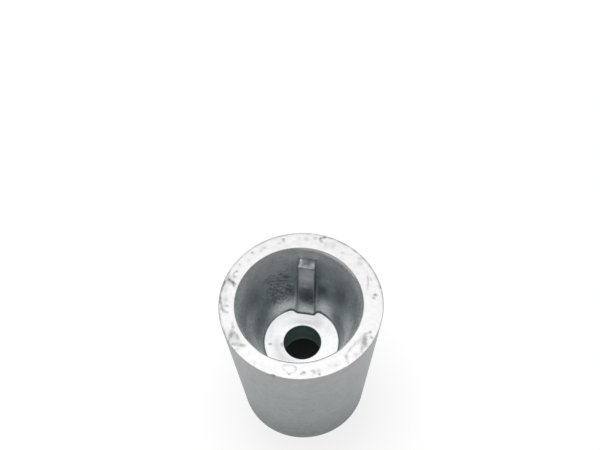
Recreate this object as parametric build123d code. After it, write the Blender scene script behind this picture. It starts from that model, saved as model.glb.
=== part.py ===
from build123d import *
import os

# Sacrificial anode: one zinc casting in the form of a hollow truncated cone. Its wide end opens
# into a conical cavity that slips over a shaft nut, with one key rib down the cavity wall. A bolt
# passes through the web under the cavity, and its head sits in a deep recess in the small end.
# Millimetres. The origin is the centre of the small end's face, +Z runs up to the rim, and the
# key rib is on the +Y side. Diameters run to the sharp corners, before the edges are rounded.

# Outer form
height = 70.0
rim_diameter = 60.0
small_end_diameter = 48.6

# Cavity
mouth_diameter = 47.0
cavity_depth = 31.5
cavity_floor_diameter = 28.8

# Bolt seat
web_thickness = 11.5
bolt_hole_diameter = 14.0
head_recess_diameter = 21.0

# Key rib: its heights stand off the cavity wall, measured square to the part's axis
rib_width = 6.4
rib_top_below_rim = 5.4
rib_height_at_top = 4.2
rib_height_at_floor = 2.1

# Edge and corner radii
small_end_edge_radius = 1.7
rim_outer_edge_radius = 0.4
rim_inner_edge_radius = 0.4
hole_edge_radius = 0.4
recess_edge_radius = 0.5
rib_edge_radius = 0.4
rib_end_radius = 0.3
rib_root_radius = 1.5
floor_corner_radius = 0.5

# How far the cavity, and then the rib, run on below the floor before the web fills them in
overlap = 2.5

# How near a height the middle of an edge or face must lie to count as being at that height
match_tolerance = 0.01

cavity_floor_z = height - cavity_depth
cavity_end_z = cavity_floor_z - overlap
rib_foot_z = cavity_end_z - overlap
recess_depth = cavity_floor_z - web_thickness
rib_top_z = height - rib_top_below_rim


def cavity_radius(z):
    """Radius of the bare cavity wall at height z."""
    share = (z - cavity_floor_z) / cavity_depth
    return (cavity_floor_diameter + share * (mouth_diameter - cavity_floor_diameter)) / 2


def at_height(shape, z):
    """Whether the middle of an edge or face lies at height z."""
    return abs(shape.center().Z - z) < match_tolerance


def turned(corners):
    """A turned form from its half section, given as corner points with their radii."""
    with BuildPart() as form:
        with BuildSketch(Plane.XZ) as section:
            with BuildLine():
                Polyline([(r, z) for r, z, _ in corners], close=True)
            make_face()
            for r, z, radius in corners:
                if radius:
                    corner = section.vertices().sort_by_distance(Vector(r, z, 0))[0]
                    fillet(corner, radius)
        revolve(axis=Axis.Z)
    return form.part


def shell():
    """The outer cone with its cavity, bolt hole and recess. The cavity runs on below its floor."""
    return turned([
        (head_recess_diameter / 2, 0, recess_edge_radius),
        (small_end_diameter / 2, 0, small_end_edge_radius),
        (rim_diameter / 2, height, rim_outer_edge_radius),
        (mouth_diameter / 2, height, rim_inner_edge_radius),
        (cavity_radius(cavity_end_z), cavity_end_z, 0),
        (bolt_hole_diameter / 2, cavity_end_z, 0),
        (bolt_hole_diameter / 2, recess_depth, hole_edge_radius),
        (head_recess_diameter / 2, recess_depth, 0),
    ])


def web_top():
    """The ring that fills the cavity's end up to the floor."""
    outer_radius = cavity_radius(cavity_floor_z) + overlap
    return turned([
        (bolt_hole_diameter / 2, cavity_end_z, 0),
        (outer_radius, cavity_end_z, 0),
        (outer_radius, cavity_floor_z, 0),
        (bolt_hole_diameter / 2, cavity_floor_z, hole_edge_radius),
    ])


def key_rib():
    """The rib as a wedge with a level end face and a crown that leans out less than the wall."""
    crown_top = cavity_radius(rib_top_z) - rib_height_at_top
    crown_floor = cavity_radius(cavity_floor_z) - rib_height_at_floor
    lean = (crown_top - crown_floor) / (rib_top_z - cavity_floor_z)
    outline = [
        (crown_top, rib_top_z),
        (crown_floor - lean * (cavity_floor_z - rib_foot_z), rib_foot_z),
        (cavity_radius(rib_foot_z) + overlap, rib_foot_z),
        (cavity_radius(rib_top_z) + overlap, rib_top_z),
    ]
    with BuildPart() as rib:
        with BuildSketch(Plane.YZ):
            with BuildLine():
                Polyline(outline, close=True)
            make_face()
        extrude(amount=rib_width / 2, both=True)
        side_edges = rib.faces().filter_by(Axis.X).edges()
        long_edges = side_edges.filter_by(lambda edge: not at_height(edge, rib_top_z))
        fillet(long_edges, rib_edge_radius)
    return rib.part


def with_rib(body, rib):
    """The rib joined to the cavity wall: its long roots rounded, then the edges of its end face."""
    joined = body + rib
    roots = new_edges(body, rib, combined=joined)
    long_roots = roots.filter_by(
        lambda edge: not at_height(edge, rib_top_z) and not at_height(edge, cavity_end_z)
    )
    rooted = fillet(long_roots, rib_root_radius)
    end_face = rooted.faces().filter_by(lambda face: at_height(face, rib_top_z))[0]
    return fillet(end_face.edges(), rib_end_radius)


def with_floor(body, web):
    """The web's top joined on, with the corner round the cavity's floor rounded."""
    joined = body + web
    corners = new_edges(body, web, combined=joined)
    corners = corners.filter_by(lambda edge: at_height(edge, cavity_floor_z))
    return fillet(corners, floor_corner_radius)


casting = with_floor(with_rib(shell(), key_rib()), web_top())

os.makedirs("parts", exist_ok=True)
export_step(casting, "parts/anode_casting.step")
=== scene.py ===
import math

import bpy
import numpy as np
from mathutils import Matrix, Vector, noise


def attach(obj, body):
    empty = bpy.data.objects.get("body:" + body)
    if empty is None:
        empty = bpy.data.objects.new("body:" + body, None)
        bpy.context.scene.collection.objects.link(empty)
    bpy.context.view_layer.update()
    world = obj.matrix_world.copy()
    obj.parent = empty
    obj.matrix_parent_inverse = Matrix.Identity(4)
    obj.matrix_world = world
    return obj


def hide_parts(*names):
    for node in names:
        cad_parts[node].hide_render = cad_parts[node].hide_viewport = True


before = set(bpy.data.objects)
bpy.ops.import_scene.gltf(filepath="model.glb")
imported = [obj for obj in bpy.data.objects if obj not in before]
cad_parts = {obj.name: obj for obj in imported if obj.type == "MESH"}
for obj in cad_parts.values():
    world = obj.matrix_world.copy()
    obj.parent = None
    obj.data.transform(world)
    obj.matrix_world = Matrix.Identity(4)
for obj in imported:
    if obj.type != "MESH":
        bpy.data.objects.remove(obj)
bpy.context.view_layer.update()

METRES = 0.001

# Sizes shared with the part's source
HEIGHT = 70.0
RIM_R = 30.0
SMALL_END_R = 24.3
MOUTH_R = 23.5
FLOOR_Z = 38.5
FLOOR_R = 14.4
WEB_BOTTOM_Z = 27.0
HOLE_R = 7.0
RECESS_R = 10.5
RIB_HALF_WIDTH = 3.2
RIB_TOP_Z = 64.6
RIB_HEIGHT_TOP = 4.2
RIB_HEIGHT_FLOOR = 2.1
SMALL_END_EDGE = 1.7
RIM_OUTER_EDGE = 0.4
RIM_INNER_EDGE = 0.4
HOLE_EDGE = 0.4
RECESS_EDGE = 0.5
RECESS_CORNER = 0.15
RIB_EDGE = 0.4
RIB_END_EDGE = 0.3
FLOOR_CORNER = 0.5

# The rib's root is rounder at its foot than at its top, and most on the left, as the photograph
# shows. The crown's foot is turned a little, too: it stands further off the wall on the right.
# Both fade out upwards.
ROOT_AT_FOOT = 3.1
ROOT_LEFT_EXTRA = 0.18
ROOT_AT_TOP = 0.6
ROOT_FADE = 9.0
CROWN_TURN = 0.09
CROWN_TURN_FADE = 10.0

# The casting isn't quite true: how far its levels lie off the rim's axis, and how much smaller
# than its nominal radius the mouth is
MOUTH_SHIFT = np.array([-0.72, -0.13])
FLOOR_SHIFT = np.array([-0.62, -0.03])
BORE_SHIFT = np.array([-0.25, -0.14])
SMALL_END_SHIFT = np.array([-0.57, 0.02])
MOUTH_TIGHTER = 0.12

# How the mesh's columns share out round the rib: angle of the rib's zone to each side, and where
# the crown and the sides end on a scale from 0 at the rib's middle to 1 at the zone's border
ZONE_ANGLE = math.radians(20)
CROWN_SHARE = 0.36
SIDE_SHARE = 0.60

# Steps between columns, and how far they crowd towards the edges
CROWN_STEPS = 26
CROWN_CROWDING = 0.6
SIDE_STEPS = 9
SIDE_CROWDING = 0.4
ARC_STEPS = 12
PLAIN_STEPS = 407

# Faces of the form, in the order in which the mesh's rows pass over them
FACES = ("floor", "bore", "web", "recess", "small_end", "skin", "rim", "wall")
FACE_SHARES = dict(zip(FACES, np.eye(len(FACES))))

# The corners between these faces in the turned section: place, radius, steps round it, and rows
# across the face after it
SECTION_CORNERS = [
    ((HOLE_R, FLOOR_Z), HOLE_EDGE, 4, 6),
    ((HOLE_R, WEB_BOTTOM_Z), HOLE_EDGE, 3, 3),
    ((RECESS_R, WEB_BOTTOM_Z), RECESS_CORNER, 2, 5),
    ((RECESS_R, 0.0), RECESS_EDGE, 4, 8),
    ((SMALL_END_R, 0.0), SMALL_END_EDGE, 8, 26),
    ((RIM_R, HEIGHT), RIM_OUTER_EDGE, 4, 26),
    ((MOUTH_R, HEIGHT), RIM_INNER_EDGE, 4, 0),
]

# Steps between the cavity's rows down to the rib's end face, over it and along the crown, and how
# far the rows crowd. Beside the rib, the end face's rows spread this far above and below it.
WALL_STEPS = (9, 13, 58)
WALL_CROWDING = (0.3, 0.5, 0.1)
END_REACH = 1.8

# How far above the floor the wall's rows stop, steps round the floor's corner, and steps across
# the floor and how far they crowd
WALL_STOP = 0.65
CORNER_STEPS = 5
FLOOR_STEPS = 14
FLOOR_CROWDING = 0.2

# How points are moved onto the cavity's surface: rounds, the least slope they reckon with, the
# step that the slope is measured over, and how many rows past the end face may change height
SETTLING_ROUNDS = 12
LEAST_SLOPE = 0.1
SLOPE_STEP = 1e-3
ROWS_PAST_END = 2


# Section of the turned form

def unit(vector):
    return vector / np.linalg.norm(vector)


def unit_rows(vectors):
    return vectors / np.linalg.norm(vectors, axis=-1, keepdims=True)


def corner_arc(before, corner, after, radius, steps):
    """Points round one corner of the section, from tangent point to tangent point."""
    corner = np.array(corner)
    back = unit(np.array(before) - corner)
    ahead = unit(np.array(after) - corner)
    half = math.acos(back @ ahead) / 2
    centre = corner + unit(back + ahead) * radius / math.sin(half)
    start = corner + back * radius / math.tan(half) - centre
    end = corner + ahead * radius / math.tan(half) - centre
    turn = math.pi - 2 * half
    t = np.linspace(0, 1, steps + 1)[:, None]
    return centre + (np.sin((1 - t) * turn) * start + np.sin(t * turn) * end) / math.sin(turn)


def turned_rows():
    """Rows from the hole's upper edge, down, out and up to the mouth, and their shares of faces."""
    points = [place for place, _, _, _ in SECTION_CORNERS]
    before = [(FLOOR_R, FLOOR_Z)] + points[:-1]
    after = points[1:] + [(FLOOR_R, FLOOR_Z)]
    arcs = [
        corner_arc(start, place, end, radius, steps)
        for start, (place, radius, steps, _), end in zip(before, SECTION_CORNERS, after)
    ]
    rows, shares = [], []
    for k, (_, _, steps, between) in enumerate(SECTION_CORNERS):
        face, next_face = FACE_SHARES[FACES[k]], FACE_SHARES[FACES[k + 1]]
        t = np.linspace(0, 1, steps + 1)[:, None]
        rows.append(arcs[k])
        shares.append((1 - t) * face + t * next_face)
        if between:
            t = np.linspace(0, 1, between + 2)[1:-1, None]
            rows.append((1 - t) * arcs[k][-1] + t * arcs[k + 1][0])
            shares.append(np.tile(next_face, (between, 1)))
    return np.vstack(rows), np.vstack(shares)


# Columns

def crowded(start, end, steps, share):
    """Evenly spaced values that crowd towards both ends by the given share."""
    t = np.linspace(0, 1, steps + 1)
    t = (1 - share) * t + share * (1 - np.cos(math.pi * t)) / 2
    return start + (end - start) * t


# How far across the floor, towards the hole, each of the floor's rows lies
FLOOR_COURSE = crowded(0, 1, FLOOR_STEPS, FLOOR_CROWDING)[1:-1]


def column_layout():
    """Each column's angle from the rib, and its place across the rib's zone (1 outside it)."""
    crown = crowded(-CROWN_SHARE, CROWN_SHARE, CROWN_STEPS, CROWN_CROWDING)
    side = crowded(CROWN_SHARE, SIDE_SHARE, SIDE_STEPS, SIDE_CROWDING)[1:]
    arc = np.linspace(SIDE_SHARE, 1, ARC_STEPS + 1)[1:]
    half = np.concatenate([side, arc])
    across = np.concatenate([-half[::-1], crown, half])
    rest = np.linspace(ZONE_ANGLE, 2 * math.pi - ZONE_ANGLE, PLAIN_STEPS + 2)[1:-1]
    angle = np.concatenate([across * ZONE_ANGLE, rest])
    return angle, np.concatenate([across, np.ones(len(rest))])


# Cavity

def wall_r(z):
    return FLOOR_R + (z - FLOOR_Z) * (MOUTH_R - FLOOR_R) / (HEIGHT - FLOOR_Z)


CROWN_TOP_Y = wall_r(RIB_TOP_Z) - RIB_HEIGHT_TOP
CROWN_FLOOR_Y = FLOOR_R - RIB_HEIGHT_FLOOR
WALL_LEAN = math.atan((MOUTH_R - FLOOR_R) / (HEIGHT - FLOOR_Z))
CROWN_SLOPE = (CROWN_TOP_Y - CROWN_FLOOR_Y) / (RIB_TOP_Z - FLOOR_Z)


def crown_y(x, z):
    turn = CROWN_TURN * np.exp((FLOOR_Z - z) / CROWN_TURN_FADE)
    return CROWN_FLOOR_Y + (z - FLOOR_Z) * CROWN_SLOPE - turn * x


def ring(angle, radius, z):
    """Points at an angle from the rib, anticlockwise seen from above."""
    angle, radius, z = np.broadcast_arrays(angle, radius, z)
    return np.stack([-radius * np.sin(angle), radius * np.cos(angle), z], axis=-1)


def past_side(across):
    """How far columns lie past the rib's side: 0 at its root, 1 at the border of its zone."""
    return (np.abs(across) - SIDE_SHARE) / (1 - SIDE_SHARE)


def rib_weight(across):
    """1 across the rib, falling to 0 at the border of its zone."""
    return 1 - smooth(past_side(across))


def rib_outline(across, z):
    """The cavity's sharp outline at height z with the rib in it."""
    radius = wall_r(z)
    size = np.abs(across)
    root_angle = np.arcsin(RIB_HALF_WIDTH / radius)
    root_y = radius * np.cos(root_angle)
    along_side = np.clip((size - CROWN_SHARE) / (SIDE_SHARE - CROWN_SHARE), 0, 1)
    along_arc = np.clip(past_side(across), 0, 1)
    angle = np.sign(across) * (root_angle + (ZONE_ANGLE - root_angle) * along_arc)
    x = -RIB_HALF_WIDTH * np.clip(across / CROWN_SHARE, -1, 1)
    y = crown_y(x, z) + (root_y - crown_y(x, z)) * along_side
    flat = np.stack(np.broadcast_arrays(x, y, z), axis=-1)
    return np.where((size > SIDE_SHARE)[..., None], ring(angle, radius, z), flat)


def smooth(t):
    t = np.clip(t, 0, 1)
    return t * t * (3 - 2 * t)


def course(stops, steps, crowding):
    """Values from stop to stop in the given numbers of steps, without the first stop."""
    runs = zip(stops, stops[1:], steps, crowding)
    return np.concatenate([crowded(start, end, n, share)[1:] for start, end, n, share in runs])


def void_distance(p):
    """How far a point stands off the cavity's wall and rib, with the rib's corners rounded."""
    x, y, z = p[..., 0], p[..., 1], p[..., 2]
    wall = (wall_r(z) - np.hypot(x, y)) * math.cos(WALL_LEAN)
    faces = np.stack([
        np.abs(x) - RIB_HALF_WIDTH,
        (crown_y(x, z) - y) * math.cos(math.atan(CROWN_SLOPE)),
        z - RIB_TOP_Z,
    ]) + RIB_EDGE
    rib = np.sqrt((np.maximum(faces, 0) ** 2).sum(0)) + np.minimum(faces.max(0), 0) - RIB_EDGE
    foot = ROOT_AT_FOOT - ROOT_LEFT_EXTRA * np.clip(x, -RIB_HALF_WIDTH, RIB_HALF_WIDTH)
    root = ROOT_AT_TOP + (foot - ROOT_AT_TOP) * np.exp((FLOOR_Z - z) / ROOT_FADE)
    root = root + (RIB_END_EDGE - root) * smooth((z - RIB_TOP_Z + RIB_EDGE) / RIB_EDGE)
    corner = np.hypot(np.maximum(root - wall, 0), np.maximum(root - rib, 0))
    return np.maximum(root, np.minimum(wall, rib)) - corner


def void_slope(p):
    """Which way, and how fast, that distance grows."""
    steps = np.eye(3) * SLOPE_STEP
    rises = [void_distance(p + step) - void_distance(p - step) for step in steps]
    return np.stack(rises, axis=-1) / (2 * SLOPE_STEP)


def settled(p, level=False):
    """The points moved onto the cavity's rounded surface, each at its own height if level."""
    for _ in range(SETTLING_ROUNDS):
        slope = void_slope(p)
        if level:
            slope[..., 2] = 0
        move = void_distance(p) / np.maximum((slope ** 2).sum(-1), LEAST_SLOPE)
        p = p - slope * move[..., None]
    return p


def end_root_angle(across):
    """Each column's angle on the line where the rib's end face meets the wall."""
    size = np.abs(across)
    root_angle = math.asin(RIB_HALF_WIDTH / wall_r(RIB_TOP_Z))
    beside = root_angle + (ZONE_ANGLE - root_angle) * past_side(across)
    return np.sign(across) * np.where(size > SIDE_SHARE, beside, root_angle * size / SIDE_SHARE)


def wall_rows(angle, across):
    """Rows of the cavity's wall and rib, from below the mouth's edge to above the floor's corner."""
    top_z = HEIGHT - RIM_INNER_EDGE
    low_z = FLOOR_Z + WALL_STOP
    plain_stops = (top_z, RIB_TOP_Z + END_REACH, RIB_TOP_Z - END_REACH, low_z)
    rib_stops = (top_z, RIB_TOP_Z, RIB_TOP_Z, low_z)
    plain_z = course(plain_stops, WALL_STEPS, WALL_CROWDING)[:, None]
    rib_z = course(rib_stops, WALL_STEPS, WALL_CROWDING)[:, None]
    out = course((0, 0, 1, 1), WALL_STEPS, WALL_CROWDING)[:, None, None]
    weight = rib_weight(across)[None, :, None]
    angle, across = angle[None, :], across[None, :]
    plain = ring(angle, wall_r(plain_z), plain_z)
    narrowing = course((0, 1, 1, 1), WALL_STEPS, WALL_CROWDING)[:, None]
    flush_angle = (1 - narrowing) * angle + narrowing * end_root_angle(across)
    flush = ring(flush_angle, wall_r(rib_z), rib_z)
    with_rib = (1 - out) * flush + out * rib_outline(across, rib_z)
    rows = (1 - weight) * plain + weight * with_rib
    past_end = WALL_STEPS[0] + WALL_STEPS[1] + ROWS_PAST_END
    return np.concatenate([settled(rows[:past_end]), settled(rows[past_end:], level=True)])


def floor_rows(angle, across):
    """Rows round the floor's corner, then across the floor to the hole's edge."""
    weight = rib_weight(across)[:, None]
    plain = ring(angle, FLOOR_R, FLOOR_Z)
    sharp = (1 - weight) * plain + weight * rib_outline(across, np.array(FLOOR_Z))
    outline = settled(sharp, level=True)
    slope = void_slope(outline)
    level_size = np.hypot(slope[:, 0], slope[:, 1])
    lean = np.arctan2(slope[:, 2], level_size)
    inward = slope * [1, 1, 0] / level_size[:, None]
    reach = FLOOR_CORNER / np.tan(math.pi / 4 + lean / 2)
    turn = lean + (math.pi / 2 - lean) * np.linspace(0, 1, CORNER_STEPS + 1)[:, None]
    out = (reach - FLOOR_CORNER * np.cos(turn))[..., None] * inward
    rise = (FLOOR_CORNER - FLOOR_CORNER * np.sin(turn))[..., None] * np.array([0, 0, 1])
    corner = outline + out + rise
    hole = ring(angle, HOLE_R + HOLE_EDGE, FLOOR_Z)
    to_hole = FLOOR_COURSE[:, None, None]
    return corner, (1 - to_hole) * corner[-1] + to_hole * hole


def cast_surface():
    """The surface as a grid of points, true and off true, its normals, and each row's faces."""
    angle, across = column_layout()
    section, turned_shares = turned_rows()
    turned = ring(angle[None, :], section[:, :1], section[:, 1:])
    wall = wall_rows(angle, across)
    corner, floor = floor_rows(angle, across)
    grid = np.concatenate([turned, wall, corner, floor])
    t = np.linspace(0, 1, len(corner))[:, None]
    shares = np.concatenate([
        turned_shares,
        np.tile(FACE_SHARES["wall"], (len(wall), 1)),
        (1 - t) * FACE_SHARES["wall"] + t * FACE_SHARES["floor"],
        np.tile(FACE_SHARES["floor"], (len(floor), 1)),
    ])
    return grid, shifted(grid, len(turned)), grid_normals(grid, wall, len(turned)), shares


def grid_normals(grid, wall, wall_start):
    """Normals square to the grid's rows and columns, and to the rounded form on the wall."""
    around = np.roll(grid, -1, axis=1) - np.roll(grid, 1, axis=1)
    along = np.roll(grid, -1, axis=0) - np.roll(grid, 1, axis=0)
    normals = np.cross(around, along)
    normals[wall_start:wall_start + len(wall)] = void_slope(wall)
    return unit_rows(normals)


def shifted(grid, turned_count):
    """The grid with its levels a little off the rim's axis, as the casting's are."""
    z = grid[..., 2]
    radius = np.hypot(grid[..., 0], grid[..., 1])
    outward = np.clip((radius - RECESS_R) / (SMALL_END_R - RECESS_R), 0, 1)[..., None]
    inward = np.clip((RIM_R - radius) / (RIM_R - MOUTH_R), 0, 1)[..., None]
    skin = (1 - z / HEIGHT)[..., None] * SMALL_END_SHIFT
    shift = (1 - outward) * BORE_SHIFT + outward * skin
    at_mouth = MOUTH_SHIFT - MOUTH_TIGHTER * grid[..., :2] / radius[..., None]
    shift += (z > HEIGHT - RIM_OUTER_EDGE)[..., None] * inward * at_mouth
    up_cavity = np.clip((z[turned_count:] - FLOOR_Z) / (HEIGHT - FLOOR_Z), 0, 1)[..., None]
    shift[turned_count:] = FLOOR_SHIFT + up_cavity * (at_mouth[turned_count:] - FLOOR_SHIFT)
    to_hole = FLOOR_COURSE[:, None, None]
    shift[-len(FLOOR_COURSE):] = (1 - to_hole) * FLOOR_SHIFT + to_hole * BORE_SHIFT
    return grid + np.pad(shift, ((0, 0), (0, 0), (0, 1)))


# Marks and relief of the casting. A tone is how strongly a mark shows, from 0 to 1:
# how much darker it looks than what is round it, or in a list of lights how much lighter. Places
# on the rim and on the floor are measured from this point.
MARKS_CENTRE = np.array([-0.30, -0.18])

# Spots and smears on the rim: azimuth, radius, half length along it, half width across it, tone
RIM_SPOTS = [
    (-176, 27.2, 1.8, 0.9, 0.12), (-144, 27.2, 2.4, 1.8, 0.14), (-154, 25.4, 0.8, 0.5, 0.14),
    (-136, 26.6, 1.4, 1.2, 0.12), (-79, 27.2, 0.7, 0.5, 0.40), (-81, 27.8, 0.4, 0.4, 0.26),
    (-68, 28.7, 0.4, 0.5, 0.36), (-71.3, 27.5, 0.6, 0.8, 0.22), (-72.8, 26.8, 0.6, 0.4, 0.16),
    (-68, 27.3, 0.6, 0.7, 0.14), (-59.3, 26.8, 0.6, 1.0, 0.08), (-55, 27.5, 1.2, 1.1, 0.11),
    (-44.4, 26.8, 0.5, 0.7, 0.20), (-38, 28.6, 1.2, 1.0, 0.11), (-20.4, 28.9, 0.5, 0.6, 0.32),
    (-17, 27.6, 0.45, 0.5, 0.38), (-28, 25.8, 1.8, 0.7, 0.10), (15, 27.5, 0.45, 0.65, 0.52),
    (12.3, 26.8, 0.5, 0.5, 0.30), (29, 27.6, 1.0, 0.4, 0.12), (44.7, 27.4, 0.9, 0.9, 0.11),
    (48, 28.6, 0.9, 0.6, 0.14), (61.5, 26.3, 0.7, 0.6, 0.12), (71, 27.2, 1.2, 1.6, 0.08),
    (77, 26.4, 0.9, 1.4, 0.08), (86.5, 28.2, 0.8, 0.5, 0.20), (93.3, 27.3, 0.9, 0.9, 0.13),
    (99, 27.7, 0.8, 0.6, 0.08), (111, 27.9, 0.45, 0.5, 0.46), (111, 26.8, 0.5, 0.8, 0.10),
    (115.5, 26.8, 0.6, 0.6, 0.10), (127.5, 27.1, 0.8, 0.6, 0.16), (131.5, 26.7, 0.6, 0.5, 0.13),
    (137.5, 27.9, 0.45, 0.7, 0.26), (144, 26.6, 0.4, 0.5, 0.13), (151.7, 27.8, 0.5, 0.5, 0.18),
    (157.7, 27.0, 0.45, 0.45, 0.36), (162.5, 26.8, 0.5, 0.7, 0.32), (160, 27.5, 0.7, 0.35, 0.20),
    (164, 28.6, 0.8, 0.9, 0.14), (176, 27.8, 1.4, 0.9, 0.10), (168, 27.5, 1.3, 1.5, 0.14),
]

# Flow lines and streaks on the rim: half width, tone, then the azimuths and radii on their way
RIM_LINES = [
    (0.50, 0.22, [(169, 29.2), (180, 29.4)]),
    (0.45, 0.29, [(180, 29.4), (186, 28.8), (191, 28.3), (194, 27.6), (195, 26.4)]),
    (0.40, 0.17, [(189, 28.4), (189.5, 26.2)]),
    (0.60, 0.22, [(-142, 29.4), (-145, 27.8), (-148, 26.6), (-151, 25.6)]),
    (0.55, 0.22, [(-145, 27.6), (-146, 26.2), (-143.5, 25.5), (-140, 26.0)]),
    (0.60, 0.18, [(-138.5, 28.8), (-137, 27.8), (-134.5, 26.8), (-132, 25.8)]),
    (0.40, 0.16, [(-134, 29.5), (-133, 28.4)]),
    (0.30, 0.09, [(-116.5, 28.0), (-114.5, 29.7)]),
    (0.34, 0.12, [(-89.5, 28.0), (-91.5, 27.2), (-94.5, 26.4), (-96.2, 25.6), (-95.2, 24.9)]),
    (0.34, 0.12, [(-95.2, 24.9), (-90, 24.5), (-86.5, 24.7), (-84.6, 25.5), (-84.8, 26.6),
                  (-89.5, 28.0)]),
    (0.42, 0.11, [(-46, 29.2), (-45.6, 28), (-44.4, 26.8), (-42, 25.8), (-37, 25.4), (-31, 25.2)]),
    (0.55, 0.17, [(-33.5, 29.2), (-31, 28.2)]),
    (1.00, 0.32, [(-28, 28.2), (-25, 27.4), (-22.5, 26.7)]),
    (0.35, 0.14, [(-17, 27.6), (-20, 26.2)]),
    (0.38, 0.13, [(35, 27.7), (28, 26.4), (21, 25.2)]),
    (0.50, 0.29, [(79.5, 29.4), (82.5, 28.6), (82.5, 28.0), (81, 27.2)]),
    (0.50, 0.38, [(166.5, 28.4), (166.8, 27.4), (167.8, 26.2)]),
    (0.38, 0.22, [(167.8, 26.2), (168.5, 25.0)]),
    (0.35, 0.22, [(168, 26.4), (171.5, 25.0)]),
]

# The line of dirt along the rim's outer edge: radius, half width, azimuths it runs between, tone
EDGE_R = 29.6
EDGE_HALF_WIDTH = 0.45
EDGE_LINE_SPAN = (-2, 222)
EDGE_LINE_TONE = 0.10

# Darker stretches of that line: azimuth, half length, tone
EDGE_SPOTS = [
    (20.5, 0.8, 0.30), (29, 2.2, 0.16), (38, 1.2, 0.16), (47, 1.6, 0.20), (56, 1.2, 0.28),
    (66.5, 1.9, 0.26), (76, 1.4, 0.20), (112, 2.8, 0.16), (128.5, 3.4, 0.16), (162, 1.4, 0.12),
    (172, 2.2, 0.24), (186.5, 0.8, 0.16), (198, 1.5, 0.14), (210.5, 1.8, 0.20),
]

# Painted shade along the mouth's near edge, where its rounding turns down: azimuths it runs
# between, radius, half width, tone
MOUTH_SHADE_SPAN = (-128, -34)
MOUTH_SHADE_R = 23.5
MOUTH_SHADE_HALF_WIDTH = 0.26
MOUTH_SHADE_TONE = 0.42

# How many degrees the line of dirt and the line of painted shade take to fade out at their ends
LINE_FADE = 15

# Spots and smears on the cavity's floor, as on the rim
FLOOR_SPOTS = [
    (-169, 12.3, 0.5, 0.5, 0.50), (-165.5, 7.8, 0.9, 0.5, 0.34), (-168, 9.8, 3.2, 1.4, 0.13),
    (62, 10.0, 2.4, 1.8, 0.14), (92, 8.6, 4.2, 0.9, 0.15), (120, 9.8, 4.0, 1.2, 0.08),
    (-130, 9.8, 4.0, 2.0, 0.13), (36, 11.0, 2.0, 2.0, 0.05), (172, 12.5, 2.5, 0.8, 0.06),
    (-98, 9.4, 3.5, 1.6, 0.08),
]

# The nick in the rim's outer edge: azimuth, half length, half width, depth and tone
NICK_AZIMUTH = -100.6
NICK_HALF_LENGTH = 0.7
NICK_HALF_WIDTH = 0.45
NICK_DEPTH = 0.30
NICK_TONE = 0.9

# The thin burr just inside the mouth: azimuths it runs between and degrees that it fades over,
# height, half width, how far it stands out, and how far a painted highlight along it takes on the
# rim's pale colour
BURR_SPAN = (30, 106)
BURR_FADE = 12
BURR_Z = 68.9
BURR_HALF_WIDTH = 0.30
BURR_STAND = 0.55
BURR_HIGHLIGHT = 0.8

# The rippled patch of the wall: azimuths and heights that it lies between, and the degrees and
# millimetres that it fades over
RIPPLE_SPAN = (102, 146)
RIPPLE_SPAN_FADE = 12
RIPPLE_HEIGHTS = (41, 63)
RIPPLE_HEIGHT_FADE = 6

# The ripples: length, slant, azimuth from which the slant is measured, radians by which slow and
# quick noise makes them wander, height, and tones of the painted shade in the furrows and of the
# painted highlight on the crests
RIPPLE_LENGTH = 1.7
RIPPLE_SLANT = 0.35
RIPPLE_MIDDLE = 124
RIPPLE_WANDER = (3.5, 5.0)
RIPPLE_STAND = 0.06
FURROW_SHADE_TONE = 0.42
CREST_HIGHLIGHT_TONE = 0.16

# Dark and light patches of the wall: azimuth, height, half length round it, half height, tone. The
# light patches are painted reflection and sheen; the two at the wall's foot stand in for the bright
# floor's reflection
WALL_DARKS = [
    (43, 54, 4.0, 5.5, 0.44), (69, 50.5, 1.6, 2.0, 0.42), (160, 56, 4.5, 4.5, 0.26),
    (180, 45, 8.0, 4.6, 0.55), (28, 63, 6.0, 3.0, 0.14), (200, 60, 5.0, 6.0, 0.16),
    (10, 42.0, 7.0, 3.8, 0.50), (36, 42.0, 4.0, 2.4, 0.26), (193, 50, 3.5, 4.5, 0.18),
]
WALL_SHEENS = [
    (122, 42.0, 5.0, 3.6, 0.92), (62, 41.5, 3.6, 4.4, 0.88), (3, 51, 5.5, 4.0, 0.15),
    (17, 44, 1.6, 5.0, 0.12), (128, 62, 7.0, 3.0, 0.25), (100, 68, 9.0, 1.6, 0.20),
    (118, 53, 4.0, 5.0, 0.10),
]

# Patches of the rib's crown, in the same way but with the place across it for the azimuth. The
# light patches are painted reflection and sheen too, the one at the crown's foot standing in for the
# bright floor's reflection
CROWN_DARKS = [
    (0.75, 48.4, 2.2, 2.6, 0.24), (-1.5, 49.7, 1.8, 2.6, 0.12), (0, 52.8, 3.0, 0.6, 0.12),
]
CROWN_SHEENS = [
    (0, 40.5, 4.0, 3.4, 0.88), (0, 59, 4.0, 5.0, 0.42), (-0.8, 54.2, 1.8, 0.5, 0.45),
]

# Painted shade in the far part of the corner round the floor: azimuths it lies between, degrees it
# fades over
CORNER_SHADE_SPAN = (36, 140)
CORNER_SHADE_FADE = 25

# Painted shade in lines down the rib's roots: half width and tone, each at the top and at the foot,
# and the millimetres below the rib's end over which it comes in
ROOT_SHADE_HALF_WIDTH = (0.30, 0.60)
ROOT_SHADE_TONE = (0, 0.18)
ROOT_SHADE_FADE = 1.5

# Spots on the rib's torn end: place across, share of the way out from the wall, half size, tone
END_LIGHTS = [
    (-2.5, 0.22, 0.5, 0.9), (-2.2, 0.5, 0.4, 0.7), (-2.6, 0.8, 0.5, 0.7), (2.4, 0.6, 0.9, 0.35),
    (-0.6, 0.72, 0.4, 0.3), (-0.8, 1.02, 0.9, 0.4), (1.4, 1.02, 0.9, 0.3),
]
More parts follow.
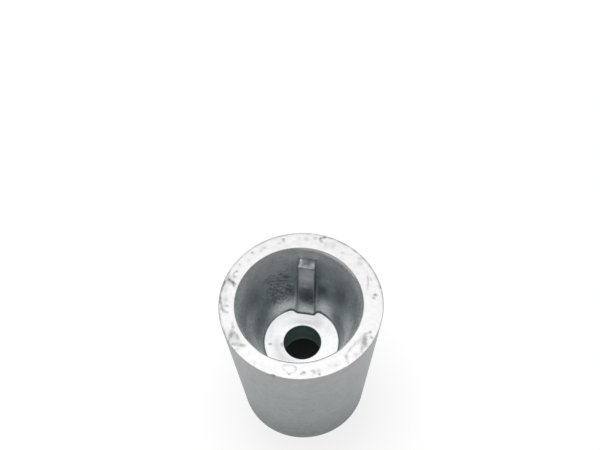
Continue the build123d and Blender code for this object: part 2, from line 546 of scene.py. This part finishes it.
# The dark spots at shares of 0.14 and below are painted shade where the end meets the wall
END_DARKS_AND_SHADE = [
    (0.6, 0.14, 1.2, 0.95), (-0.9, 0.52, 0.5, 0.8), (0.6, 0.55, 0.5, 0.7), (2.0, 0.30, 0.5, 0.4),
    (-2.0, -0.1, 1.2, 0.8), (2.2, -0.05, 1.2, 0.7),
]

# The light that is left under marks is this power of the tone that is left to the eye
EYE_POWER = 2.2

# Noise: size of its lumps in millimetres, and seed. Each seed moves it on by these steps.
COARSE = (7.0, 1)
MEDIUM = (3.0, 2)
FINE = (1.1, 3)
TORN = (0.9, 4)
PATCHY = (1.5, 5)
WAVY = (1.5, 6)
SEED_STEP = (3.7, 1.3, 7.1)

# How far the noise makes a mark's tone vary
PATCHY_SHARE = 0.8

# Heights of the cast relief's coarse, medium and fine lumps on each kind of face
RELIEF = {
    "outside": (0.025, 0.006, 0),
    "flat": (0.030, 0.022, 0.010),
    "wall": (0.030, 0.020, 0.006),
}

# Heights of the torn end's lumps and of its light spots, depth of the rim's marks, and how far
# below the nominal surface the relief starts
TORN_LUMPS = 0.16
TORN_SPOTS = 0.18
MARK_DEPTH = 0.05
RELIEF_START = 0.07


def azimuth_of(grid):
    return np.degrees(np.arctan2(grid[..., 1], grid[..., 0]))


def turn_between(azimuth, other):
    """The angle from the other azimuth, from -180 to 180."""
    return (azimuth - other + 180) % 360 - 180


def window(value, low, high, soft):
    """1 between two values and 0 outside them, with soft borders inside them."""
    return smooth((value - low) / soft) * smooth((high - value) / soft)


def spot(along, across, half_length, half_width):
    """1 in the middle of a soft spot, falling off along and across it."""
    return np.exp(-(along / half_length) ** 2 - (across / half_width) ** 2)


def band(off_line, half_width):
    """1 on a line, falling off beside it."""
    return np.exp(-(off_line / half_width) ** 2)


def line_distance(p, route):
    """Distance from points to a line through azimuths and radii."""
    turns = np.radians([azimuth for azimuth, _ in route])
    radii = np.array([radius for _, radius in route])
    corners = np.stack([radii * np.cos(turns), radii * np.sin(turns)], axis=-1)
    nearest = np.full(p.shape[:-1], np.inf)
    for a, b in zip(corners, corners[1:]):
        t = np.clip(((p - a) @ (b - a)) / ((b - a) @ (b - a)), 0, 1)
        nearest = np.minimum(nearest, np.linalg.norm(p - a - t[..., None] * (b - a), axis=-1))
    return nearest


def overlaid(tones):
    """Several marks' tones as one share of the mark's colour."""
    clean = 1.0
    for tone in tones:
        clean = clean * (1 - tone)
    return 1 - clean ** EYE_POWER


def flat_spots(grid, spots):
    """Tones of spots on a level face."""
    place = grid[..., :2] - MARKS_CENTRE
    radius = np.hypot(place[..., 0], place[..., 1])
    for azimuth, mark_radius, half_length, half_width, tone in spots:
        along = np.radians(turn_between(azimuth_of(place), azimuth)) * mark_radius
        yield tone * spot(along, radius - mark_radius, half_length, half_width)


def rim_lines(grid, patchy):
    """Tones of the flow lines and streaks on the rim."""
    for half_width, tone, route in RIM_LINES:
        beside = line_distance(grid[..., :2] - MARKS_CENTRE, route)
        yield tone * patchy * band(beside, half_width)


def edge_dirt(grid, patchy):
    """Tones of the line of dirt along the rim's outer edge, and of its darker stretches."""
    azimuth = azimuth_of(grid)
    off_line = np.hypot(grid[..., 0], grid[..., 1]) - EDGE_R
    # Azimuths from -90 to 270, so that the line's span isn't broken at 180
    unbroken = (azimuth + 90) % 360 - 90
    on_span = window(unbroken, *EDGE_LINE_SPAN, LINE_FADE)
    yield EDGE_LINE_TONE * on_span * patchy * band(off_line, EDGE_HALF_WIDTH)
    for place, half_length, tone in EDGE_SPOTS:
        along = np.radians(turn_between(azimuth, place)) * EDGE_R
        yield tone * spot(along, off_line, half_length, EDGE_HALF_WIDTH)


def mouth_edge_shade(grid):
    """Tone of the painted shade along the mouth's near edge."""
    place = grid[..., :2] - MOUTH_SHIFT
    off_line = np.hypot(place[..., 0], place[..., 1]) - MOUTH_SHADE_R
    on_top = grid[..., 2] > HEIGHT - RIM_INNER_EDGE
    on_span = window(azimuth_of(grid), *MOUTH_SHADE_SPAN, LINE_FADE)
    return MOUTH_SHADE_TONE * on_top * on_span * band(off_line, MOUTH_SHADE_HALF_WIDTH)


def wall_patches(true, patches, crown_patches):
    """Tones of patches of the wall, and of the rib's crown, a millimetre or more off the wall."""
    x, z = true[..., 0], true[..., 2]
    on_crown = smooth(2 * (wall_r(z) - np.hypot(x, true[..., 1])) - 1) * (z < RIB_TOP_Z)
    for place, height, half_length, half_height, tone in patches:
        along = np.radians(turn_between(azimuth_of(true), place)) * wall_r(height)
        yield (1 - on_crown) * tone * spot(along, z - height, half_length, half_height)
    for place, height, half_length, half_height, tone in crown_patches:
        yield on_crown * tone * spot(x - place, z - height, half_length, half_height)


def rib_root_shade(true):
    """Tone of the painted shade down the rib's roots."""
    x, z = true[..., 0], true[..., 2]
    down = np.clip((RIB_TOP_Z - z) / (RIB_TOP_Z - FLOOR_Z), 0, 1)
    half_width = np.interp(down, (0, 1), ROOT_SHADE_HALF_WIDTH)
    beside = band(np.abs(x) - RIB_HALF_WIDTH - half_width / 2, half_width)
    below_end = smooth((RIB_TOP_Z - z) / ROOT_SHADE_FADE) * (true[..., 1] > 0)
    return np.interp(down, (0, 1), ROOT_SHADE_TONE) * beside * below_end


def nick_mark(grid):
    """1 in the middle of the nick in the rim's outer edge."""
    along = np.radians(turn_between(azimuth_of(grid), NICK_AZIMUTH)) * RIM_R
    off_edge = np.hypot(RIM_R - np.hypot(grid[..., 0], grid[..., 1]), HEIGHT - grid[..., 2])
    return spot(along, off_edge, NICK_HALF_LENGTH, NICK_HALF_WIDTH)


def burr_mark(grid):
    """1 along the burr inside the mouth."""
    on_span = window(azimuth_of(grid), *BURR_SPAN, BURR_FADE)
    return on_span * band(grid[..., 2] - BURR_Z, BURR_HALF_WIDTH)


def end_mask(true):
    """1 on the rib's end face."""
    x, y, z = (true[..., k] for k in range(3))
    on_end = (np.abs(z - RIB_TOP_Z) < RIB_EDGE) & (np.abs(x) < RIB_HALF_WIDTH + RIB_EDGE)
    return (on_end & (y > 0) & (np.hypot(x, y) < wall_r(RIB_TOP_Z) + RIB_END_EDGE)).astype(float)


def end_spots(true, spots):
    """Share of spots on the rib's end, from 0 to 1."""
    out = (wall_r(RIB_TOP_Z) - true[..., 1]) / RIB_HEIGHT_TOP
    clear = np.ones(true.shape[:2])
    for x, share, size, tone in spots:
        clear *= 1 - tone * spot(true[..., 0] - x, (out - share) * RIB_HEIGHT_TOP, size, size)
    return 1 - clear


def reaching(share):
    """1 on a face and most of its rounded edge, falling to 0 in the edge's far third."""
    return smooth(3 * share)


def held_back(share):
    """1 on a face, falling to 0 in the near third of its rounded edge."""
    return smooth(3 * share - 2)


def on_edge(share, face, other):
    """1 halfway round the rounded edge between two faces, falling to 0 on both."""
    return 4 * share[face] * share[other]


def corner_shade_mask(true, share):
    """1 where shade is painted in the far part of the corner round the cavity's floor, fading out
    just above it.
    """
    above = 1 - (true[..., 2] - FLOOR_Z) / (2 * WALL_STOP)
    far = window(azimuth_of(true), *CORNER_SHADE_SPAN, CORNER_SHADE_FADE)
    return far * smooth(above * share["wall"] + on_edge(share, "wall", "floor"))


def noise_at(points, size, seed):
    """Smooth noise from -1 to 1, with lumps of about the given size in millimetres."""
    shift = Vector([seed * step for step in SEED_STEP])
    flat = points.reshape(-1, 3) / size
    values = [noise.noise(Vector(p) + shift) for p in flat]
    return np.array(values).reshape(points.shape[:-1])


def ripples(true, share):
    """Ripples of the wall's rippled patch, from -1 in the furrows to 1 on the crests."""
    z = true[..., 2]
    azimuth = azimuth_of(true)
    patch = share["wall"] * window(azimuth, *RIPPLE_SPAN, RIPPLE_SPAN_FADE)
    patch = patch * window(z, *RIPPLE_HEIGHTS, RIPPLE_HEIGHT_FADE)
    along = np.radians(azimuth - RIPPLE_MIDDLE) * wall_r(z)
    slow, quick = RIPPLE_WANDER
    wander = slow * noise_at(true, *MEDIUM) + quick * noise_at(true, *WAVY)
    return patch * np.sin(2 * math.pi * (z - RIPPLE_SLANT * along) / RIPPLE_LENGTH + wander)


def relief(grid, share, marks):
    """Height of the cast relief along the normals, from a little below the nominal surface."""
    lumps = [noise_at(grid, *kind) for kind in (COARSE, MEDIUM, FINE)]
    faces = {
        "outside": share["skin"] + share["small_end"],
        "flat": share["rim"] + share["floor"],
        "wall": share["wall"],
    }
    height = 0
    for kind, face in faces.items():
        height = height + face * sum(size * lump for size, lump in zip(RELIEF[kind], lumps))
    height += RIPPLE_STAND * marks["ripple"]
    torn = TORN_LUMPS * noise_at(grid, *TORN) + TORN_SPOTS * marks["end_lights"]
    height += marks["end"] * torn
    height -= share["rim"] * MARK_DEPTH * marks["rim"]
    height -= NICK_DEPTH * marks["nick"]
    height += share["wall"] * BURR_STAND * marks["burr"]
    return height - RELIEF_START


# The casting's mesh

def grid_mesh(name, grid):
    """A closed mesh of the grid, whose rows and columns both run round to their start."""
    rows, columns = grid.shape[:2]
    index = np.arange(rows * columns).reshape(rows, columns)
    right = np.roll(index, -1, axis=1)
    faces = np.stack([index, right, np.roll(right, -1, axis=0), np.roll(index, -1, axis=0)], axis=-1)
    mesh = bpy.data.meshes.new(name)
    mesh.from_pydata((grid.reshape(-1, 3) * METRES).tolist(), [], faces.reshape(-1, 4).tolist())
    mesh.shade_smooth()
    return mesh


def surface_marks(true, grid, share, patchy):
    """How far each point lies in each kind of mark: from 0 to 1, and from -1 for the ripples."""
    rim_tones = [
        *flat_spots(grid, RIM_SPOTS),
        *rim_lines(grid, patchy),
        *edge_dirt(grid, patchy),
        # painted shade along the mouth's near edge, mixed in with the rim's stains
        mouth_edge_shade(grid),
    ]
    return {
        "rim": overlaid(rim_tones),
        "floor": overlaid(flat_spots(grid, FLOOR_SPOTS)),
        "nick": nick_mark(grid),
        "burr": burr_mark(grid),
        "end": end_mask(true),
        "end_lights": end_spots(true, END_LIGHTS),
        "ripple": ripples(true, share),
    }


def material_masks(true, share, marks, patchy):
    """How far each point takes on each look of the material."""
    on_rim = reaching(share["rim"])
    stain_and_shade = on_rim * marks["rim"] + share["floor"] * marks["floor"]
    dark_tones = [
        *wall_patches(true, WALL_DARKS, CROWN_DARKS),
        # painted shade down the rib's roots
        rib_root_shade(true),
        # painted shade in the ripples' furrows
        FURROW_SHADE_TONE * np.clip(-marks["ripple"], 0, 1),
    ]
    light_tones = [
        *wall_patches(true, WALL_SHEENS, CROWN_SHEENS),
        # painted highlight on the ripples' crests
        CREST_HIGHLIGHT_TONE * np.clip(marks["ripple"], 0, 1),
    ]
    return {
        # the rim's pale colour, and a painted highlight along the burr
        "rim": on_rim + BURR_HIGHLIGHT * share["wall"] * marks["burr"] * patchy,
        "floor": held_back(share["floor"]),
        "corner": corner_shade_mask(true, share),
        "wall": share["wall"],
        "bore": held_back(share["bore"]),
        "recess": reaching(share["recess"] + share["web"]),
        # painted highlight halfway round the small end's rounded edges
        "edge": on_edge(share, "skin", "small_end") + on_edge(share, "recess", "small_end"),
        # stains, and the painted shade along the mouth's near edge
        "stain_and_shade": np.maximum(stain_and_shade, NICK_TONE * marks["nick"]),
        "dark": share["wall"] * overlaid(dark_tones),
        "light": share["wall"] * overlaid(light_tones),
        "torn": marks["end"],
        "torn_light": marks["end"] * marks["end_lights"],
        "torn_dark": marks["end"] * end_spots(true, END_DARKS_AND_SHADE),
    }


def make_casting():
    """The casting as one object, with its masks as attributes of its points."""
    true, grid, normals, shares = cast_surface()
    share = {
        face: np.broadcast_to(column[:, None], grid.shape[:2])
        for face, column in zip(FACES, shares.T)
    }
    patchy = 1 + PATCHY_SHARE * noise_at(grid, *PATCHY)
    marks = surface_marks(true, grid, share, patchy)
    mesh = grid_mesh("anode_cast_surface", grid + normals * relief(grid, share, marks)[..., None])
    for name, values in material_masks(true, share, marks, patchy).items():
        attribute = mesh.attributes.new(name, "FLOAT", "POINT")
        attribute.data.foreach_set("value", values.astype(np.float32).ravel())
    piece = bpy.data.objects.new("anode_cast_surface", mesh)
    bpy.context.scene.collection.objects.link(piece)
    return piece


# Materials

class Shader:
    """A material's node tree, with short calls for the nodes that it uses."""

    def __init__(self, name):
        self.material = bpy.data.materials.new(name)
        self.material.use_nodes = True
        self.tree = self.material.node_tree
        self.bsdf = self.tree.nodes["Principled BSDF"]
        self.place = self.node("ShaderNodeTexCoord").outputs["Object"]

    def node(self, kind, **settings):
        made = self.tree.nodes.new(kind)
        for name, value in settings.items():
            setattr(made, name, value)
        return made

    def put(self, socket, value):
        """Link an output to a socket, or set the socket's own value."""
        if isinstance(value, bpy.types.NodeSocket):
            self.tree.links.new(value, socket)
        else:
            socket.default_value = value

    def attribute(self, name):
        return self.node("ShaderNodeAttribute", attribute_name=name).outputs["Fac"]

    def noise(self, size, detail=3.0, roughness=0.5, distortion=0.0):
        """Noise from 0 to 1 with lumps of about the given size in millimetres."""
        made = self.node("ShaderNodeTexNoise")
        self.put(made.inputs["Vector"], self.place)
        self.put(made.inputs["Scale"], 1 / (size * METRES))
        self.put(made.inputs["Detail"], detail)
        self.put(made.inputs["Roughness"], roughness)
        self.put(made.inputs["Distortion"], distortion)
        return made.outputs["Fac"]

    def remap(self, value, low, high, to_low=0.0, to_high=1.0):
        made = self.node("ShaderNodeMapRange")
        for socket, number in zip(made.inputs, (value, low, high, to_low, to_high)):
            self.put(socket, number)
        return made.outputs["Result"]

    def maths(self, operation, a, b):
        made = self.node("ShaderNodeMath", operation=operation)
        self.put(made.inputs[0], a)
        self.put(made.inputs[1], b)
        return made.outputs["Value"]

    def mix(self, factor, a, b):
        """A colour between a and b."""
        made = self.node("ShaderNodeMix", data_type="RGBA")
        self.put(made.inputs["Factor"], factor)
        colours = [s for s in made.inputs if s.type == "RGBA"]
        self.put(colours[0], a)
        self.put(colours[1], b)
        return [s for s in made.outputs if s.type == "RGBA"][0]

    def blend(self, factor, a, b):
        """A number between a and b."""
        return self.remap(factor, 0, 1, a, b)

    def height(self):
        """Height in millimetres."""
        split = self.node("ShaderNodeSeparateXYZ")
        self.put(split.inputs[0], self.place)
        return self.maths("DIVIDE", split.outputs["Z"], METRES)

    def ramp(self, height, tones):
        """The colour at a height, from a list of heights with their colours."""
        made = self.node("ShaderNodeValToRGB")
        self.put(made.inputs["Fac"], self.remap(height, 0, HEIGHT))
        stops = made.color_ramp.elements
        while len(stops) < len(tones):
            stops.new(0.5)
        for stop, (z, colour) in zip(stops, tones):
            stop.position = z / HEIGHT
            stop.color = (*colour, 1)
        return made.outputs["Color"]

    def bump(self, height, distance, strength=1.0):
        made = self.node("ShaderNodeBump")
        self.put(made.inputs["Height"], height)
        self.put(made.inputs["Distance"], distance * METRES)
        self.put(made.inputs["Strength"], strength)
        return made.outputs["Normal"]


# Tones of the outer skin and of the cavity's wall, from height to height: the skin darkens towards
# the small end, which is painted shade for the shadowed floor that it reflects there, and the wall
# is pale at the mouth and evenly dark from halfway down
SKIN_TONES_WITH_SHADE = [
    (5, (0.155, 0.184, 0.189)),
    (26, (0.300, 0.328, 0.338)),
    (68, (0.415, 0.428, 0.444)),
]
WALL_TONES = [
    (40, (0.270, 0.310, 0.322)),
    (46, (0.265, 0.312, 0.325)),
    (54, (0.270, 0.318, 0.332)),
    (59, (0.365, 0.415, 0.432)),
    (63, (0.560, 0.600, 0.620)),
    (67, (0.880, 0.900, 0.920)),
]

# The material's noise: size of its lumps in millimetres, detail, roughness and distortion
MOTTLE = (5.0, 4.0, 0.6)
CLOUD = (1.6, 4.0, 0.65, 0.4)
SPECKLE = (0.5, 3.0, 0.6)
GLOSS_LUMPS = (3.0,)
GRAIN = (0.45, 2.0)

# The part of the noise's range that is used, and the part of the cloud's
NOISE_RANGE = (0.3, 0.7)
CLOUD_RANGE = (0.35, 0.7)

# Millimetres by which the mottle moves the tones up and down, how far it and the cloud colour
# the skin, and how much the speckle makes a stain vary
TONE_WANDER = 1.2
MOTTLE_SHARE = 0.22
CLOUD_SHARE = 0.16
SPECKLE_RANGE = (0.7, 1.3)

# Colours of the mottle and the cloud on the skin, and of the looks that are laid over
SKIN_DULL = (0.10, 0.13, 0.13, 1)
SKIN_BRIGHT = (0.75, 0.76, 0.78, 1)
# Colour of the painted reflection and sheen on the wall and crown
SHEEN_PAINT = (0.80, 0.82, 0.83, 1)
DARK_PATCH_AND_SHADE = (0.035, 0.050, 0.052, 1)
TORN_GREY = (0.22, 0.235, 0.24, 1)
TORN_DARK = (0.07, 0.08, 0.085, 1)
TORN_LIGHT = (0.74, 0.75, 0.76, 1)
# Pale colour painted as a highlight halfway round the small end's rounded edges
EDGE_HIGHLIGHT = (0.62, 0.63, 0.64, 1)
# Near-black colour painted as the shade deep in the recess and on the web
RECESS_SHADE_DARK = (0.018, 0.030, 0.023, 1)
# Colour of the painted shade in the far part of the floor's corner
CORNER_SHADE_DARK = (0.07, 0.08, 0.085, 1)
STAIN_AND_SHADE_DARK = (0.05, 0.055, 0.06, 1)

# Pairs of colours that the cloud or the mottle mixes
RIM_COLOURS = ((0.93, 0.925, 0.93, 1), (0.81, 0.81, 0.82, 1))
FLOOR_COLOURS = ((0.95, 0.955, 0.96, 1), (0.86, 0.87, 0.875, 1))
BORE_COLOURS = ((0.18, 0.30, 0.30, 1), (0.26, 0.38, 0.38, 1))


def zinc_colour(s, mask):
    """Grey skin with painted shade towards the small end, darker greenish wall, pale rim and floor,
    dark bore, and recess painted near black as shade.
    """
    mottle = s.remap(s.noise(*MOTTLE), *NOISE_RANGE)
    cloud = s.remap(s.noise(*CLOUD), *CLOUD_RANGE)
    height = s.maths("ADD", s.height(), s.blend(mottle, -TONE_WANDER, TONE_WANDER))
    # The skin's ramp darkens towards the small end as painted shade
    skin = s.ramp(height, SKIN_TONES_WITH_SHADE)
    skin = s.mix(s.maths("MULTIPLY", mottle, MOTTLE_SHARE), skin, SKIN_DULL)
    skin = s.mix(s.maths("MULTIPLY", cloud, CLOUD_SHARE), skin, SKIN_BRIGHT)
    wall = s.ramp(height, WALL_TONES)
    # painted reflection and sheen on the wall and crown, and painted highlight on the ripples'
    # crests
    wall = s.mix(mask["light"], wall, SHEEN_PAINT)
    # dark patches of the wall and crown, and the painted shade of the rib's roots and the ripples'
    # furrows
    wall = s.mix(mask["dark"], wall, DARK_PATCH_AND_SHADE)
    # dark spots of the torn end, and painted shade where it meets the wall
    torn = s.mix(mask["torn_dark"], TORN_GREY, TORN_DARK)
    torn = s.mix(mask["torn_light"], torn, TORN_LIGHT)
    colour = s.mix(mask["wall"], skin, wall)
    colour = s.mix(mask["edge"], colour, EDGE_HIGHLIGHT)
    colour = s.mix(mask["floor"], colour, s.mix(cloud, *FLOOR_COLOURS))
    colour = s.mix(mask["rim"], colour, s.mix(cloud, *RIM_COLOURS))
    colour = s.mix(mask["torn"], colour, torn)
    colour = s.mix(mask["bore"], colour, s.mix(mottle, *BORE_COLOURS))
    # recess and web painted near black as shade
    colour = s.mix(mask["recess"], colour, RECESS_SHADE_DARK)
    # painted shade in the far part of the floor's corner
    colour = s.mix(mask["corner"], colour, CORNER_SHADE_DARK)
    speckle = s.remap(s.noise(*SPECKLE), *NOISE_RANGE, *SPECKLE_RANGE)
    # stains, with the painted shade along the mouth's near edge
    return s.mix(s.maths("MULTIPLY", mask["stain_and_shade"], speckle), colour, STAIN_AND_SHADE_DARK)


# How metallic, how glossy and how rough each look is, and the grain's depth in millimetres and
# its strength
METALLIC = {"skin": 0.80, "wall": 0.50, "pale": 0.25, "torn": 0.3, "recess": 0.2}
SPECULAR = {"skin": 0.5, "recess": 0.05}
ROUGHNESS = {"skin": 0.42, "pale": 0.5, "torn": 0.6, "hole": 0.7}
WALL_ROUGHNESS = (0.22, 0.34)
GRAIN_DEPTH = 0.02
GRAIN_STRENGTH = 0.4


def cast_zinc():
    s = Shader("cast_zinc")
    names = (
        "rim", "floor", "wall", "bore", "recess", "edge", "corner", "stain_and_shade", "dark", "light",
        "torn", "torn_light", "torn_dark",
    )
    mask = {name: s.attribute(name) for name in names}
    s.put(s.bsdf.inputs["Base Color"], zinc_colour(s, mask))
    pale = s.maths("MAXIMUM", mask["rim"], mask["floor"])
    metal = s.blend(mask["wall"], METALLIC["skin"], METALLIC["wall"])
    metal = s.blend(pale, metal, METALLIC["pale"])
    metal = s.blend(mask["torn"], metal, METALLIC["torn"])
    metal = s.blend(mask["recess"], metal, METALLIC["recess"])
    s.put(s.bsdf.inputs["Metallic"], metal)
    gloss = s.blend(mask["recess"], SPECULAR["skin"], SPECULAR["recess"])
    s.put(s.bsdf.inputs["Specular IOR Level"], gloss)
    wall_rough = s.remap(s.noise(*GLOSS_LUMPS), *NOISE_RANGE, *WALL_ROUGHNESS)
    rough = s.blend(mask["wall"], ROUGHNESS["skin"], wall_rough)
    rough = s.blend(pale, rough, ROUGHNESS["pale"])
    rough = s.blend(mask["torn"], rough, ROUGHNESS["torn"])
    rough = s.blend(s.maths("MAXIMUM", mask["bore"], mask["recess"]), rough, ROUGHNESS["hole"])
    s.put(s.bsdf.inputs["Roughness"], rough)
    s.put(s.bsdf.inputs["Normal"], s.bump(s.noise(*GRAIN), GRAIN_DEPTH, GRAIN_STRENGTH))
    return s.material


# Studio: the floor's size, grey and glow, the world's light, and the one lamp, in metres and watts
STUDIO_SIZE = 6.0
STUDIO_GREY = (0.27, 0.27, 0.27, 1)
STUDIO_ROUGHNESS = 0.9
STUDIO_SPECULAR = 0.1
STUDIO_GLOW = 0.80
WHITE = (1, 1, 1, 1)
WORLD_LIGHT = 0.22
LAMP_PLACE = (-0.10, 0.20, 1.50)
LAMP_DIAMETER = 0.9
LAMP_POWER = 14.2


def studio_floor():
    """A plain grey floor that the camera and reflections see as almost white."""
    bpy.ops.mesh.primitive_plane_add(size=STUDIO_SIZE, location=(0, 0, 0))
    floor = bpy.context.object
    floor.name = "studio_floor"
    pale = Shader("pale_floor")
    pale.put(pale.bsdf.inputs["Base Color"], STUDIO_GREY)
    pale.put(pale.bsdf.inputs["Roughness"], STUDIO_ROUGHNESS)
    pale.put(pale.bsdf.inputs["Specular IOR Level"], STUDIO_SPECULAR)
    seen = pale.node("ShaderNodeLightPath").outputs
    rays = pale.maths("ADD", seen["Is Camera Ray"], seen["Is Glossy Ray"])
    rays = pale.maths("ADD", rays, seen["Is Transmission Ray"])
    pale.put(pale.bsdf.inputs["Emission Strength"], pale.maths("MULTIPLY", rays, STUDIO_GLOW))
    pale.put(pale.bsdf.inputs["Emission Color"], WHITE)
    floor.data.materials.append(pale.material)


def softbox(name, place, diameter, power):
    """A round lamp that faces the middle of the part."""
    data = bpy.data.lights.new(name, "AREA")
    data.shape = "DISK"
    data.size = diameter
    data.energy = power
    lamp = bpy.data.objects.new(name, data)
    lamp.location = place
    aim = Vector((0, 0, HEIGHT / 2 * METRES)) - Vector(place)
    lamp.rotation_euler = aim.to_track_quat("-Z", "Y").to_euler()
    bpy.context.scene.collection.objects.link(lamp)


def studio():
    studio_floor()
    world = bpy.data.worlds.new("studio")
    bpy.context.scene.world = world
    world.use_nodes = True
    sky = world.node_tree.nodes["Background"].inputs
    sky["Color"].default_value = WHITE
    sky["Strength"].default_value = WORLD_LIGHT
    softbox("overhead_softbox", LAMP_PLACE, LAMP_DIAMETER, LAMP_POWER)


# Camera: the point near the part's centre that it looks past, azimuth and elevation of the view,
# distance from that point, small turns that frame the part as the photograph does, then the
# lens and sensor in millimetres, and the nearest thing it sees
CAMERA_CENTRE = Vector((-0.57, 0.02, 35.0)) * METRES
CAMERA_AZIMUTH = math.radians(11.2)
CAMERA_ELEVATION = math.radians(64.031)
CAMERA_DISTANCE = 0.4489
CAMERA_TILT = math.radians(5.956)
CAMERA_PAN = math.radians(-0.256)
CAMERA_ROLL = math.radians(-3.312)
CAMERA_LENS = 69.26
CAMERA_SENSOR = 36.0
CAMERA_NEAR = 0.01


def make_camera():
    data = bpy.data.cameras.new("camera")
    data.lens = CAMERA_LENS
    data.sensor_width = CAMERA_SENSOR
    data.clip_start = CAMERA_NEAR
    camera = bpy.data.objects.new("camera", data)
    side, lift = CAMERA_AZIMUTH, CAMERA_ELEVATION
    back = Vector((
        math.sin(side) * math.cos(lift),
        -math.cos(side) * math.cos(lift),
        math.sin(lift),
    ))
    right = Vector((math.cos(side), math.sin(side), 0))
    up = back.cross(right)
    aim = Matrix((right, up, back)).transposed()
    turns = (
        Matrix.Rotation(CAMERA_TILT, 3, "X")
        @ Matrix.Rotation(CAMERA_PAN, 3, "Y")
        @ Matrix.Rotation(CAMERA_ROLL, 3, "Z")
    )
    place = CAMERA_CENTRE + back * CAMERA_DISTANCE
    camera.matrix_world = Matrix.Translation(place) @ (aim @ turns).to_4x4()
    bpy.context.scene.collection.objects.link(camera)
    bpy.context.scene.camera = camera


scene = bpy.context.scene
scene.view_settings.view_transform = "Standard"
make_camera()
studio()
casting = make_casting()
casting.data.materials.append(cast_zinc())
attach(casting, "root")
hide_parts("anode_casting")
